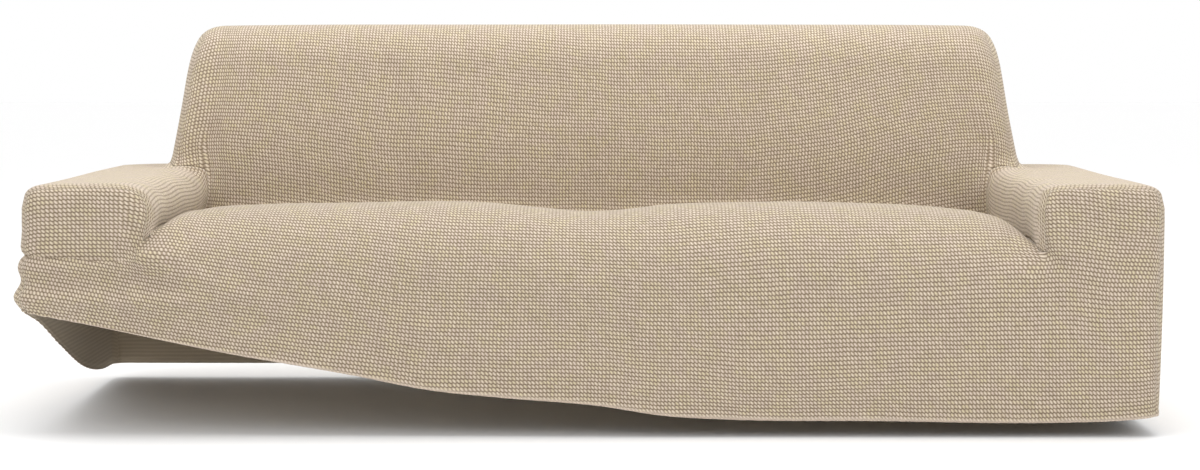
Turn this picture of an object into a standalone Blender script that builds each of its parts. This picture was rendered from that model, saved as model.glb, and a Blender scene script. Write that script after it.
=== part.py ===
# Sofa slipcover: one stretch-knit cover for a three-seat sofa, drawn over the
# seat, both arms and the back, with its front left corner still lifted.
# Metres, +Z up, +X to the right as seen from the front, front towards -Y.
# Heights are worked out above the floor, then moved so that the origin lies
# under the cloth of the back's top, where the covered back holds the cover up.

import math

import bmesh
import bpy
import numpy as np
from mathutils import Vector

# ---- Named sizes (m, above the floor, X and Y from the middle of the cover)
HALF_WIDTH = 1.100
HALF_DEPTH = 0.450
ARM_INNER = 0.852
ARM_TOP = 0.487
SEAT_REAR_FALL = 0.056
SEAT_FRONT_FALL = 0.016
SEAT_LEVEL_FRONT = -0.300
SEAT_FRONT_REACH = 0.150
SEAT_END_START = 0.800
SEAT_END_SHARE = 0.4
BACK_FRONT = 0.190
BACK_LEAN = 0.055
BACK_HALF_LOW = 0.924
BACK_HALF_HIGH = 0.886
BACK_TOP = 0.799
HEM_LEVEL = 0.032
HEM_TUCK = 0.006
HEM_TUCK_HEIGHT = 0.320

CLOTH = 0.0020
HEM_CLOTH = 0.0030
SEAM_GAP = 0.00022
NORMAL_ROUNDS = 2

SEAT_ROLL = 0.150
ARM_EDGE = 0.046
ARM_EDGE_LOOSE = 0.075
ARM_FRONT_EDGE = 0.030
ARM_PILLOW = 0.004
ARM_MIDDLE = 0.975
ARM_HALF = 0.125
SIDE_EDGE = 0.046
REAR_EDGE = 0.040
BACK_SWELL = 0.012
BACK_SWELL_MIDDLE = 0.580
BACK_SWELL_SPAN = 0.440
BACK_CROWN_DROP = 0.004
ROLL_START = 0.800
ROLL_START_LOOSE = 0.740
ROLL_END = 0.870
BACK_SIDE_EDGE = 0.075
BACK_TOP_EDGE = 0.085
ARM_TO_SEAT = 0.026
ARM_TO_BACK = 0.030
SEAT_TO_BACK = 0.040

ORIGIN = Vector((0.0, 0.345, 0.797))

CREAM = (0.560, 0.465, 0.350, 1.0)

# Height of the seat's crown across the cover: two swells with a dip between.
SEAT_COLUMNS = ("x", "z")
SEAT_ROWS = (
    (-1.100, 0.350),
    (-0.990, 0.345),
    (-0.905, 0.340),
    (-0.872, 0.352),
    (-0.850, 0.384),
    (-0.825, 0.410),
    (-0.766, 0.428),
    (-0.665, 0.437),
    (-0.500, 0.442),
    (-0.200, 0.442),
    (-0.076, 0.431),
    (-0.013, 0.427),
    (0.050, 0.430),
    (0.139, 0.440),
    (0.300, 0.443),
    (0.500, 0.440),
    (0.703, 0.431),
    (0.766, 0.423),
    (0.808, 0.409),
    (0.836, 0.385),
    (0.860, 0.350),
    (0.890, 0.340),
    (0.990, 0.347),
    (1.100, 0.347),
)

# Inner sides of the arms. On the left loose cloth rounds out over the seat's
# end; on the right the cloth is tight and only flares below the seat.
ARM_TIGHT_COLUMNS = ("z", "x")
ARM_TIGHT_ROWS = (
    (0.320, 0.878),
    (0.345, 0.865),
    (0.370, 0.855),
    (0.395, 0.852),
    (0.510, 0.852),
)
ARM_LOOSE_COLUMNS = ("z", "x")
ARM_LOOSE_ROWS = (
    (0.320, 0.872),
    (0.360, 0.865),
    (0.395, 0.850),
    (0.430, 0.839),
    (0.470, 0.836),
    (0.510, 0.840),
)

ARM_WALL_REACH = 0.040
ARM_WALL_FOOT = 0.305

# Height of the hem along the front: level, then lifted to the left corner.
HEM_COLUMNS = ("x", "z")
HEM_ROWS = (
    (-1.100, 0.243),
    (-0.974, 0.218),
    (-0.720, 0.166),
    (-0.465, 0.121),
    (-0.312, 0.091),
    (-0.178, 0.077),
    (0.014, 0.061),
    (0.139, 0.042),
    (0.260, 0.035),
    (0.550, 0.032),
    (0.903, 0.029),
    (1.020, 0.033),
    (1.100, 0.041),
)

# The hem falls back to its level along the left side, from front to rear.
SIDE_HEM_COLUMNS = ("y", "share")
SIDE_HEM_ROWS = (
    (-0.450, 1.00),
    (-0.300, 0.84),
    (-0.100, 0.50),
    (0.120, 0.16),
    (0.300, 0.02),
    (0.450, 0.00),
)

# Folds: each runs along a line and stands out (+) or is drawn in (-).
# A fold is named by its face and given as start, middle and end in the two
# directions of that face, with its half breadth and height.
FOLD_COLUMNS = ("face", "start", "middle", "end", "breadth", "height")
FOLD_ROWS = (
    # Left arm front: a lip of loose cloth over the lifted skirt.
    ("front", (-1.24, 0.368), (-0.985, 0.361), (-0.885, 0.372), 0.014, 0.003),
    ("front", (-1.24, 0.355), (-0.985, 0.347), (-0.875, 0.352), 0.006, -0.007),
    ("front", (-1.30, 0.333), (-0.985, 0.329), (-0.700, 0.372), 0.018, 0.009),
    ("front", (-1.30, 0.276), (-0.960, 0.264), (-0.660, 0.262), 0.022, 0.018),
    ("front", (-1.30, 0.240), (-0.985, 0.220), (-0.700, 0.160), 0.010, -0.005),
    # Pulls that fan from the seat's left end down the lifted skirt.
    ("front", (-0.860, 0.345), (-0.740, 0.300), (-0.560, 0.235), 0.020, 0.005),
    ("front", (-0.840, 0.300), (-0.700, 0.245), (-0.500, 0.180), 0.022, -0.004),
    ("front", (-0.500, 0.270), (-0.300, 0.200), (-0.080, 0.140), 0.035, 0.004),
    ("front", (-0.150, 0.240), (0.060, 0.170), (0.280, 0.110), 0.040, -0.003),
    # Right arm: a dimple where seat, arm and front meet, and its crease.
    ("front", (0.876, 0.356), (0.886, 0.342), (0.904, 0.322), 0.014, -0.009),
    ("front", (0.905, 0.322), (0.930, 0.296), (0.965, 0.262), 0.020, -0.003),
    ("front", (0.800, 0.330), (0.850, 0.300), (0.900, 0.268), 0.024, 0.003),
    # The dip in the seat's middle runs a little way down the front.
    ("front", (-0.010, 0.400), (0.000, 0.345), (0.010, 0.290), 0.045, -0.005),
    # Soft upright folds in the inside of the back.
    ("back", (-0.440, 0.700), (-0.425, 0.580), (-0.430, 0.420), 0.030, -0.005),
    ("back", (-0.380, 0.700), (-0.370, 0.580), (-0.370, 0.420), 0.028, 0.004),
    ("back", (0.345, 0.660), (0.352, 0.540), (0.350, 0.420), 0.028, -0.004),
    ("back", (0.010, 0.740), (0.000, 0.620), (0.000, 0.500), 0.050, 0.004),
    # Drawn-in corners where the back meets the arms.
    ("back", (-0.830, 0.560), (-0.845, 0.500), (-0.852, 0.420), 0.030, -0.006),
    ("back", (0.830, 0.560), (0.845, 0.500), (0.852, 0.420), 0.030, -0.006),
)

# Stations of the woven grid along each direction (right half, then mirrored).
X_LINES = (
    0.000, 0.080, 0.160, 0.260, 0.360, 0.460, 0.560, 0.650, 0.720, 0.775,
    0.812, 0.836, 0.852, 0.868, 0.888, 0.911, 0.955, 1.000, 1.040, 1.070,
    1.087, 1.100,
)
Y_LINES = (
    -0.450, -0.430, -0.400, -0.350, -0.290, -0.220, -0.140, -0.050, 0.040,
    0.110, 0.155, 0.190, 0.215, 0.250, 0.300, 0.350, 0.395, 0.430, 0.450,
)
Z_LINES = (
    0.032, 0.046, 0.090, 0.140, 0.190, 0.235, 0.280, 0.325, 0.365, 0.405,
    0.434, 0.460, 0.487, 0.515, 0.560, 0.620, 0.680, 0.730, 0.765, 0.785,
    0.799,
)
FRONT_HEM_START = (0.405, 0.445)
SIDE_HEM_START = 1.060
RIGHT_HEM_RISE = 0.006
SEAT_LINE = 0.434
BACK_LINE = 0.911
TAPER_REACH = 0.080


# ---- Blending helpers
def soft_max(a, b, reach):
    near = np.clip(reach - np.abs(a - b), 0.0, None) / reach
    return np.maximum(a, b) + near * near * reach * 0.25


def soft_min(a, b, reach):
    return -soft_max(-a, -b, reach)


def soft_step(value, low, high):
    share = np.clip((value - low) / (high - low), 0.0, 1.0)
    return share * share * (3.0 - 2.0 * share)


def follow(rows, at):
    """Value of a two-column table at given stations, eased between rows."""
    stations = np.array([row[0] for row in rows])
    values = np.array([row[1] for row in rows])
    slopes = np.gradient(values, stations)
    place = np.clip(at, stations[0], stations[-1])
    index = np.clip(np.searchsorted(stations, place) - 1, 0, len(stations) - 2)
    span = stations[index + 1] - stations[index]
    t = (place - stations[index]) / span
    start, end = values[index], values[index + 1]
    rise = slopes[index] * span
    fall = slopes[index + 1] * span
    return (
        (2 * t**3 - 3 * t**2 + 1) * start
        + (t**3 - 2 * t**2 + t) * rise
        + (3 * t**2 - 2 * t**3) * end
        + (t**3 - t**2) * fall
    )


# ---- The covered shape
def seat_height(x, y):
    rear = soft_step(y, SEAT_LEVEL_FRONT, BACK_FRONT)
    front = np.clip((SEAT_LEVEL_FRONT - y) / SEAT_FRONT_REACH, 0.0, 1.0)
    ends = soft_step(np.abs(x), SEAT_END_START, ROLL_END)
    return (
        follow(SEAT_ROWS, x)
        - SEAT_REAR_FALL * rear * (1.0 - SEAT_END_SHARE * ends)
        - SEAT_FRONT_FALL * front**2 * (1.0 - ends)
    )


def hem_height(x, y):
    front = follow(HEM_ROWS, x)
    left = HEM_LEVEL + (HEM_ROWS[0][1] - HEM_LEVEL) * follow(SIDE_HEM_ROWS, y)
    right = HEM_LEVEL + RIGHT_HEM_RISE * (y < SEAT_LEVEL_FRONT)
    along_side = np.where(x < 0.0, left, right)
    on_front = soft_step(-y, *FRONT_HEM_START)
    return on_front * front + (1.0 - on_front) * np.where(
        np.abs(x) > SIDE_HEM_START, along_side, HEM_LEVEL
    )


def back_lean(z):
    return BACK_LEAN * soft_step(z, 0.380, BACK_TOP + 0.060)


def back_half(z):
    share = np.clip((z - 0.500) / (BACK_TOP - 0.540), -0.2, 1.0)
    bulge = 0.004 * np.sin(math.pi * np.clip(share, 0.0, 1.0))
    return BACK_HALF_LOW + (BACK_HALF_HIGH - BACK_HALF_LOW) * share - bulge


def arm_wall(x, z):
    return np.where(x < 0.0, follow(ARM_LOOSE_ROWS, z), follow(ARM_TIGHT_ROWS, z))


def cover_field(x, y, z):
    """Below zero inside the covered shape, zero on the cloth's outer face."""
    side = np.abs(x)
    tuck = HEM_TUCK * np.clip(1.0 - z / HEM_TUCK_HEIGHT, 0.0, 1.0) ** 1.5
    pillow = ARM_PILLOW * ((side - ARM_MIDDLE) / ARM_HALF) ** 2
    edge = np.where(x < 0.0, ARM_EDGE_LOOSE, ARM_EDGE)
    arm = soft_max(arm_wall(x, z) - side, z - ARM_TOP + pillow, edge)
    body = soft_min(arm, z - seat_height(x, y), ARM_TO_SEAT)

    crown = BACK_CROWN_DROP * (side / BACK_HALF_LOW) ** 4
    rise = np.clip((z - BACK_SWELL_MIDDLE) / BACK_SWELL_SPAN, -0.5, 0.5)
    swell = BACK_SWELL * np.cos(math.pi * rise)
    face = BACK_FRONT + back_lean(z) - swell
    back = soft_max(face - y, z - BACK_TOP + crown, BACK_TOP_EDGE)
    back = soft_max(back, side - back_half(z), BACK_SIDE_EDGE)
    over_arm = soft_step(side, ARM_INNER - 0.050, ARM_INNER + 0.050)
    reach = SEAT_TO_BACK + (ARM_TO_BACK - SEAT_TO_BACK) * over_arm
    body = soft_min(body, back, reach)

    roll_start = np.where(x < 0.0, ROLL_START_LOOSE, ROLL_START)
    roll = soft_step(side, roll_start, ROLL_END)
    roll = SEAT_ROLL + (ARM_FRONT_EDGE - SEAT_ROLL) * roll
    body = soft_max(body, tuck - HALF_DEPTH - y, roll)
    body = soft_max(body, side - HALF_WIDTH + tuck, SIDE_EDGE)
    return soft_max(body, y - HALF_DEPTH + tuck, REAR_EDGE)


def settle(points, sideways):
    """Brings the points of the grid on to the covered shape, moving those
    between the arms only forwards, back, up and down."""
    step = 1.0e-4
    for _ in range(9):
        x, y, z = points.T
        here = cover_field(x, y, z)
        slope = np.stack(
            [
                cover_field(x + step, y, z) - cover_field(x - step, y, z),
                cover_field(x, y + step, z) - cover_field(x, y - step, z),
                cover_field(x, y, z + step) - cover_field(x, y, z - step),
            ],
            axis=1,
        ) / (2.0 * step)
        slope[:, 0] *= sideways
        size = np.maximum((slope**2).sum(axis=1), 0.25)
        points = points - slope * (here / size)[:, None]
    return points


# ---- Folds
def curve_distance(a, b, start, middle, end):
    """Distance to a bent line and the share of the way along it."""
    nearest = np.full(a.shape, 9.0)
    share = np.zeros(a.shape)
    steps = 12
    for index in range(steps):
        ends = []
        for t in (index / steps, (index + 1) / steps):
            along = [
                (1 - t) * (1 - 2 * t) * s + 4 * t * (1 - t) * m + t * (2 * t - 1) * e
                for s, m, e in zip(start, middle, end)
            ]
            ends.append(along)
        (x0, z0), (x1, z1) = ends
        dx, dz = x1 - x0, z1 - z0
        t = np.clip(
            ((a - x0) * dx + (b - z0) * dz) / (dx * dx + dz * dz), 0.0, 1.0
        )
        gap = np.hypot(a - x0 - t * dx, b - z0 - t * dz)
        closer = gap < nearest
        nearest = np.where(closer, gap, nearest)
        share = np.where(closer, (index + t) / steps, share)
    return nearest, share


def fold_height(points, normals):
    x, y, z = points.T
    wrapped = x + np.where(x < 0.0, -1.0, 1.0) * np.clip(y + 0.43, 0.0, 0.6) * (
        np.abs(x) > 1.05
    )
    faces = {
        "front": soft_step(-y, 0.20, 0.40) * soft_step(-normals[:, 2], -0.8, -0.3),
        "back": soft_step(y, 0.14, 0.19) * soft_step(-normals[:, 1], 0.2, 0.6),
    }
    total = np.zeros(len(points))
    for face, start, middle, end, breadth, height in FOLD_ROWS:
        gap, share = curve_distance(wrapped, z, start, middle, end)
        fade = soft_step(share, -0.35, 0.20) * soft_step(1.0 - share, -0.05, 0.35)
        total += height * np.exp(-((gap / breadth) ** 2)) * fade * faces[face]
    return total


def slack(points):
    """Shallow unevenness of cloth in light tension."""
    x, y, z = points.T
    return 0.0015 * (
        np.sin(5.1 * x + 3.0 * z + 0.6) * np.sin(7.3 * z - 2.0 * y + 1.1)
        + 0.7 * np.sin(9.7 * x - 4.2 * y + 2.3) * np.sin(6.1 * z + 5.0 * y)
    )


# ---- The grid of the whole cover
def mirrored(lines):
    return tuple(-value for value in reversed(lines[1:])) + tuple(lines)


def is_covered(x, y, z):
    side = abs(x)
    if side > HALF_WIDTH or abs(y) > HALF_DEPTH or z < HEM_LEVEL:
        return False
    if side > ARM_INNER and z < ARM_TOP:
        return True
    if y > BACK_FRONT and side < BACK_LINE:
        return z < BACK_TOP
    return side < ARM_INNER and z < SEAT_LINE


def panel_of(axis, sign, x, y, z):
    """Which cut piece of cloth a face of the grid belongs to."""
    if axis == 1 and sign > 0:
        return "back_outside"
    if axis == 1:
        return "back_inside" if y > 0.0 else "seat_front"
    if z > ARM_TOP + 0.001:
        return "back_inside"
    if axis == 2 and abs(x) < ARM_INNER:
        return "seat_front"
    return "arm_left" if x < 0.0 else "arm_right"


def grid_faces():
    """Outer faces of the grid cells, each with its cut piece."""
    lines = (mirrored(X_LINES), Y_LINES, Z_LINES)
    middles = [[(a + b) / 2 for a, b in zip(line, line[1:])] for line in lines]
    corners = ((0, 0), (1, 0), (1, 1), (0, 1))
    faces = []
    for i, x in enumerate(middles[0]):
        for j, y in enumerate(middles[1]):
            for k, z in enumerate(middles[2]):
                if not is_covered(x, y, z):
                    continue
                for axis in range(3):
                    for sign in (-1, 1):
                        cell = [i, j, k]
                        cell[axis] += sign
                        if cell[axis] < 0 and axis == 2:
                            continue
                        if 0 <= cell[axis] < len(middles[axis]):
                            spot = [middles[n][cell[n]] for n in range(3)]
                            if is_covered(*spot):
                                continue
                        face = []
                        first, second = (axis + 1) % 3, (axis + 2) % 3
                        for a, b in corners:
                            key = [i, j, k]
                            key[axis] += sign > 0
                            key[first] += a
                            key[second] += b
                            face.append(tuple(key))
                        if sign < 0:
                            face.reverse()
                        height = lines[2][k + 1] if axis == 2 else z
                        faces.append((panel_of(axis, sign, x, y, height), face))
    return lines, faces


def drape(x, y, z):
    """Moves a grid point to where its part of the cloth lies, roughly."""
    seat = seat_height(x, y)
    hem = hem_height(x, y)
    low = hem + (seat - hem) * (z - HEM_LEVEL) / (SEAT_LINE - HEM_LEVEL)
    mid = seat + (ARM_TOP - seat) * (z - SEAT_LINE) / (ARM_TOP - SEAT_LINE)
    height = np.where(z <= SEAT_LINE, low, np.where(z <= ARM_TOP, mid, z))
    taper = soft_step(z, ARM_TOP, ARM_TOP + TAPER_REACH)
    across = x * (1.0 + (back_half(height) / BACK_LINE - 1.0) * taper)
    near_wall = np.exp(-(((np.abs(x) - ARM_INNER) / ARM_WALL_REACH) ** 2))
    near_wall = near_wall * soft_step(height, ARM_WALL_FOOT, ARM_WALL_FOOT + 0.060)
    across = across + np.sign(x) * (arm_wall(x, height) - ARM_INNER) * near_wall
    at_back = y >= BACK_FRONT - 1e-6
    depth = HALF_DEPTH - BACK_FRONT
    lean = back_lean(height) * (HALF_DEPTH - y) / depth
    along = np.where(at_back & (np.abs(x) < BACK_LINE + 0.001), y + lean, y)
    return np.stack([across, along, height], axis=1)


def cover_surface():
    lines, faces = grid_faces()
    keys = sorted({key for _, face in faces for key in face})
    number = {key: index for index, key in enumerate(keys)}
    raw = np.array([[lines[n][key[n]] for n in range(3)] for key in keys])
    on_arm = np.abs(raw[:, 0]) > ARM_INNER - 0.001
    beside_arm = np.where(on_arm, 1.0, soft_step(raw[:, 1], -0.360, -0.260))
    points = settle(drape(*raw.T), beside_arm)
    at_hem = raw[:, 2] < HEM_LEVEL + 1e-6
    points[at_hem, 2] = hem_height(points[at_hem, 0], points[at_hem, 1])
    panels = [(name, [number[key] for key in face]) for name, face in faces]
    normals = surface_normals(points, [face for _, face in panels])
    points = points + normals * (fold_height(points, normals) + slack(points))[:, None]
    normals = surface_normals(points, [face for _, face in panels])
    normals = eased_normals(normals, [face for _, face in panels])
    return points, normals, panels, at_hem


def surface_normals(points, faces):
    mesh = bpy.data.meshes.new("survey")
    mesh.from_pydata([tuple(p) for p in points], [], faces)
    mesh.update()
    values = np.empty(len(points) * 3)
    mesh.vertex_normals.foreach_get("vector", values)
    bpy.data.meshes.remove(mesh)
    return values.reshape(-1, 3)


def eased_normals(normals, faces):
    """Averages normals over neighbouring faces, so that the cloth's reverse
    does not cross itself in a tight crease."""
    corners = np.array(faces)
    for _ in range(NORMAL_ROUNDS):
        middles = normals[corners].sum(axis=1)
        total = np.zeros_like(normals)
        for column in corners.T:
            np.add.at(total, column, middles)
        normals = total / np.linalg.norm(total, axis=1)[:, None]
    return normals


# ---- Cut pieces as closed solids
def sides(face):
    return list(zip(face, face[1:] + face[:1]))


def make_panel(name, cover, collection, material):
    points, normals, panels, at_hem = cover
    faces = [face for panel, face in panels if panel == name]
    others = {edge for panel, face in panels if panel != name for edge in sides(face)}
    used = sorted({v for face in faces for v in face})
    number = {v: index for index, v in enumerate(used)}
    edges = {edge for face in faces for edge in sides(face)}
    rim = sorted(edge for edge in edges if edge[::-1] not in edges)

    # Each panel stops short of the seam, square to the seam's line.
    inward = {v: [] for v in used}
    for a, b in rim:
        if (b, a) not in others:
            continue
        along = (Vector(points[b]) - Vector(points[a])).normalized()
        for v in (a, b):
            square = Vector(normals[v]).cross(along)
            inward[v].append(square.normalized())
    place = {}
    for v in used:
        spot = Vector(points[v]) - ORIGIN
        if len(inward[v]) == 2:
            first, second = inward[v]
            share = max(1.0 + first.dot(second), 0.5)
            spot += (first + second) * (SEAM_GAP / share)
        elif inward[v]:
            spot += inward[v][0] * SEAM_GAP
        place[v] = spot

    shape = bmesh.new()
    outer = [shape.verts.new(place[v]) for v in used]
    inner = []
    for v in used:
        thickness = HEM_CLOTH if at_hem[v] else CLOTH
        inner.append(shape.verts.new(place[v] - Vector(normals[v]) * thickness))
    for face in faces:
        shape.faces.new([outer[number[v]] for v in face])
        shape.faces.new([inner[number[v]] for v in reversed(face)])
    for a, b in rim:
        loop = [outer[number[b]], outer[number[a]]]
        loop += [inner[number[a]], inner[number[b]]]
        shape.faces.new(loop)
    bmesh.ops.triangulate(shape, faces=shape.faces[:])
    bmesh.ops.recalc_face_normals(shape, faces=shape.faces[:])
    mesh = bpy.data.meshes.new(name)
    shape.to_mesh(mesh)
    shape.free()
    mesh.shade_smooth()
    mesh.materials.append(material)
    piece = bpy.data.objects.new(name, mesh)
    collection.objects.link(piece)
    return piece


def knit_material(name, shade):
    material = bpy.data.materials.new(name)
    material.use_nodes = True
    surface = material.node_tree.nodes["Principled BSDF"]
    colour = tuple(channel * shade for channel in CREAM[:3]) + (1.0,)
    surface.inputs["Base Color"].default_value = colour
    surface.inputs["Roughness"].default_value = 0.92
    surface.inputs["Metallic"].default_value = 0.0
    return material


PANEL_COLUMNS = ("name", "shade")
PANEL_ROWS = (
    ("seat_front", 1.00),
    ("arm_left", 1.04),
    ("arm_right", 1.04),
    ("back_inside", 1.02),
    ("back_outside", 0.98),
)


def clear_scene():
    for item in list(bpy.data.objects):
        bpy.data.objects.remove(item, do_unlink=True)


clear_scene()
sofa_slipcover = bpy.data.collections.new("sofa_slipcover")
bpy.context.scene.collection.children.link(sofa_slipcover)
whole_cover = cover_surface()
for panel_name, panel_shade in PANEL_ROWS:
    knit = knit_material(panel_name + "_knit", panel_shade)
    make_panel(panel_name, whole_cover, sofa_slipcover, knit)
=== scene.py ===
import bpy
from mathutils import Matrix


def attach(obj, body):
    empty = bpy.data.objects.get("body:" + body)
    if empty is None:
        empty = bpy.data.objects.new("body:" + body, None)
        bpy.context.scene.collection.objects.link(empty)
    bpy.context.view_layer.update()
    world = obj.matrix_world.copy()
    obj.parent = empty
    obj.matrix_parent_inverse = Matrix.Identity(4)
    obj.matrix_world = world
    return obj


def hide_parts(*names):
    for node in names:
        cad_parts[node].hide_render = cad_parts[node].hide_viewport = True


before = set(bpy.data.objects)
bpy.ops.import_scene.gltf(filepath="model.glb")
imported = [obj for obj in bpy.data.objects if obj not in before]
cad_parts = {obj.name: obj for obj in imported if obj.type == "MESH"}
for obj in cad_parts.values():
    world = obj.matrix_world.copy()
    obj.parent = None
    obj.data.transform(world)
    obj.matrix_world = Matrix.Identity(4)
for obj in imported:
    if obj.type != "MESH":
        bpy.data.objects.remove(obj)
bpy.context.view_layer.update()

import math

import bpy
import numpy as np
from mathutils import Matrix, Vector, kdtree

# ---------------------------------------------------------------------------
# Seat-and-front panel: one length of stretch knit from the front hem up over
# both arm fronts and back over the seat to the crease under the back. It is
# sewn to the two arm panels and, in the crease, to the inside-back panel.

# The whole cover is worked out here once, as one grid of cloth in tension
# over rounded forms, and each later panel takes its own part of that grid.
# Heights are above the floor; the origin lies under the cloth of the back top.
ORIGIN = np.array((0.0, 0.345, 0.797))
HALF_WIDTH = 1.100
HALF_DEPTH = 0.450
ARM_INNER = 0.852
ARM_TOP = 0.487
SEAT_LINE = 0.434
BACK_FRONT = 0.190
BACK_LINE = 0.911
BACK_TOP = 0.799
HEM_LEVEL = 0.032
HEM_BAND = 0.022
FAR = 9.0
HAIR = 0.001
TOUCH = 1.0e-6


def soft_max(a, b, reach):
    """The greater of two, rounded where they are closer than the reach."""
    near = np.clip(reach - np.abs(a - b), 0.0, None) / reach
    return np.maximum(a, b) + near * near * reach * 0.25


def soft_min(a, b, reach):
    return -soft_max(-a, -b, reach)


def soft_step(value, low, high):
    """Rises smoothly from 0 at the low value to 1 at the high one."""
    share = np.clip((value - low) / (high - low), 0.0, 1.0)
    return share * share * (3.0 - 2.0 * share)


def follow(rows, at):
    """Value of a two-column table at given stations, eased between rows."""
    stations = np.array([row[0] for row in rows])
    values = np.array([row[1] for row in rows])
    slopes = np.gradient(values, stations)
    place = np.clip(at, stations[0], stations[-1])
    index = np.clip(np.searchsorted(stations, place) - 1, 0, len(stations) - 2)
    span = stations[index + 1] - stations[index]
    t = (place - stations[index]) / span
    start, end = values[index], values[index + 1]
    rise = slopes[index] * span
    fall = slopes[index + 1] * span
    return (
        (2 * t**3 - 3 * t**2 + 1) * start
        + (t**3 - 2 * t**2 + t) * rise
        + (3 * t**2 - 2 * t**3) * end
        + (t**3 - t**2) * fall
    )


# Height of the seat's crown across the cover, in rows of x and z: two swells
# with a dip between. The seat falls to the rear and over the front's roll.
SEAT_ROWS = (
    (-1.100, 0.350),
    (-0.990, 0.345),
    (-0.905, 0.340),
    (-0.872, 0.352),
    (-0.850, 0.384),
    (-0.825, 0.410),
    (-0.766, 0.428),
    (-0.665, 0.437),
    (-0.500, 0.442),
    (-0.200, 0.442),
    (-0.076, 0.431),
    (-0.013, 0.427),
    (0.050, 0.430),
    (0.139, 0.440),
    (0.300, 0.443),
    (0.500, 0.440),
    (0.703, 0.431),
    (0.766, 0.423),
    (0.808, 0.409),
    (0.836, 0.385),
    (0.860, 0.350),
    (0.890, 0.340),
    (0.990, 0.347),
    (1.100, 0.347),
)
SEAT_REAR_FALL = 0.056
SEAT_FRONT_FALL = 0.016
SEAT_LEVEL_FRONT = -0.300
SEAT_FRONT_REACH = 0.150
SEAT_END_START = 0.800
SEAT_END_SHARE = 0.4
ROLL_END = 0.870


def seat_height(x, y):
    rear = soft_step(y, SEAT_LEVEL_FRONT, BACK_FRONT)
    front = np.clip((SEAT_LEVEL_FRONT - y) / SEAT_FRONT_REACH, 0.0, 1.0)
    ends = soft_step(np.abs(x), SEAT_END_START, ROLL_END)
    return (
        follow(SEAT_ROWS, x)
        - SEAT_REAR_FALL * rear * (1.0 - SEAT_END_SHARE * ends)
        - SEAT_FRONT_FALL * front**2 * (1.0 - ends)
    )


# Height of the hem along the front, in rows of x and z: level, then lifted
# to the left corner. Along the left side, in rows of y and share, the hem
# keeps less and less of that lift until it is level at the rear.
HEM_ROWS = (
    (-1.100, 0.243),
    (-0.974, 0.218),
    (-0.720, 0.166),
    (-0.465, 0.121),
    (-0.312, 0.091),
    (-0.178, 0.077),
    (0.014, 0.061),
    (0.139, 0.042),
    (0.260, 0.035),
    (0.550, 0.032),
    (0.903, 0.029),
    (1.020, 0.033),
    (1.100, 0.041),
)
SIDE_HEM_ROWS = (
    (-0.450, 1.00),
    (-0.300, 0.84),
    (-0.100, 0.50),
    (0.120, 0.16),
    (0.300, 0.02),
    (0.450, 0.00),
)
FRONT_HEM_START = (0.405, 0.445)
SIDE_HEM_START = 1.060
RIGHT_HEM_RISE = 0.006


def hem_height(x, y):
    front = follow(HEM_ROWS, x)
    left = HEM_LEVEL + (HEM_ROWS[0][1] - HEM_LEVEL) * follow(SIDE_HEM_ROWS, y)
    right = HEM_LEVEL + RIGHT_HEM_RISE * (y < SEAT_LEVEL_FRONT)
    along_side = np.where(x < 0.0, left, right)
    on_front = soft_step(-y, *FRONT_HEM_START)
    return on_front * front + (1.0 - on_front) * np.where(
        np.abs(x) > SIDE_HEM_START, along_side, HEM_LEVEL
    )


# The back leans, and its two short sides draw in towards its top.
BACK_LEAN = 0.055
LEAN_FOOT = 0.380
LEAN_HEAD = BACK_TOP + 0.060
BACK_HALF_LOW = 0.924
BACK_HALF_HIGH = 0.886
BACK_SIDE_FOOT = 0.500
BACK_SIDE_RISE = BACK_TOP - 0.540
BACK_SIDE_BELOW = -0.2
BACK_SIDE_BULGE = 0.004


def back_lean(z):
    return BACK_LEAN * soft_step(z, LEAN_FOOT, LEAN_HEAD)


def back_half(z):
    share = np.clip((z - BACK_SIDE_FOOT) / BACK_SIDE_RISE, BACK_SIDE_BELOW, 1.0)
    bulge = BACK_SIDE_BULGE * np.sin(math.pi * np.clip(share, 0.0, 1.0))
    return BACK_HALF_LOW + (BACK_HALF_HIGH - BACK_HALF_LOW) * share - bulge


# Inner sides of the arms, in rows of z and x. On the left loose cloth rounds
# out over the seat's end; on the right the cloth is tight and only flares
# below the seat.
ARM_LOOSE_ROWS = (
    (0.320, 0.872),
    (0.360, 0.865),
    (0.395, 0.850),
    (0.430, 0.839),
    (0.470, 0.836),
    (0.510, 0.840),
)
ARM_TIGHT_ROWS = (
    (0.320, 0.878),
    (0.345, 0.865),
    (0.370, 0.855),
    (0.395, 0.852),
    (0.510, 0.852),
)


def arm_wall(x, z):
    return np.where(x < 0.0, follow(ARM_LOOSE_ROWS, z), follow(ARM_TIGHT_ROWS, z))


# How far tension rounds each outer edge and bridges each inner corner.
SEAT_ROLL = 0.150
ROLL_START = 0.800
ROLL_START_LOOSE = 0.740
ARM_EDGE = 0.046
ARM_EDGE_LOOSE = 0.075
ARM_FRONT_EDGE = 0.030
SIDE_EDGE = 0.046
REAR_EDGE = 0.040
BACK_SIDE_EDGE = 0.075
BACK_TOP_EDGE = 0.085
ARM_TO_SEAT = 0.026
ARM_TO_BACK = 0.030
SEAT_TO_BACK = 0.040
BACK_CORNER = (0.80, 0.90)
# Swell of the arms' tops and of the back, and how the skirt draws in below.
ARM_PILLOW = 0.004
ARM_MIDDLE = 0.975
ARM_HALF = 0.125
BACK_SWELL = 0.012
BACK_SWELL_MIDDLE = 0.58
BACK_SWELL_SPAN = 0.44
BACK_TOP_FALL = 0.004
BACK_TOP_HALF = 0.9
HEM_TUCK = 0.006
HEM_TUCK_HEIGHT = 0.320
HEM_TUCK_CURVE = 1.5


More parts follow.
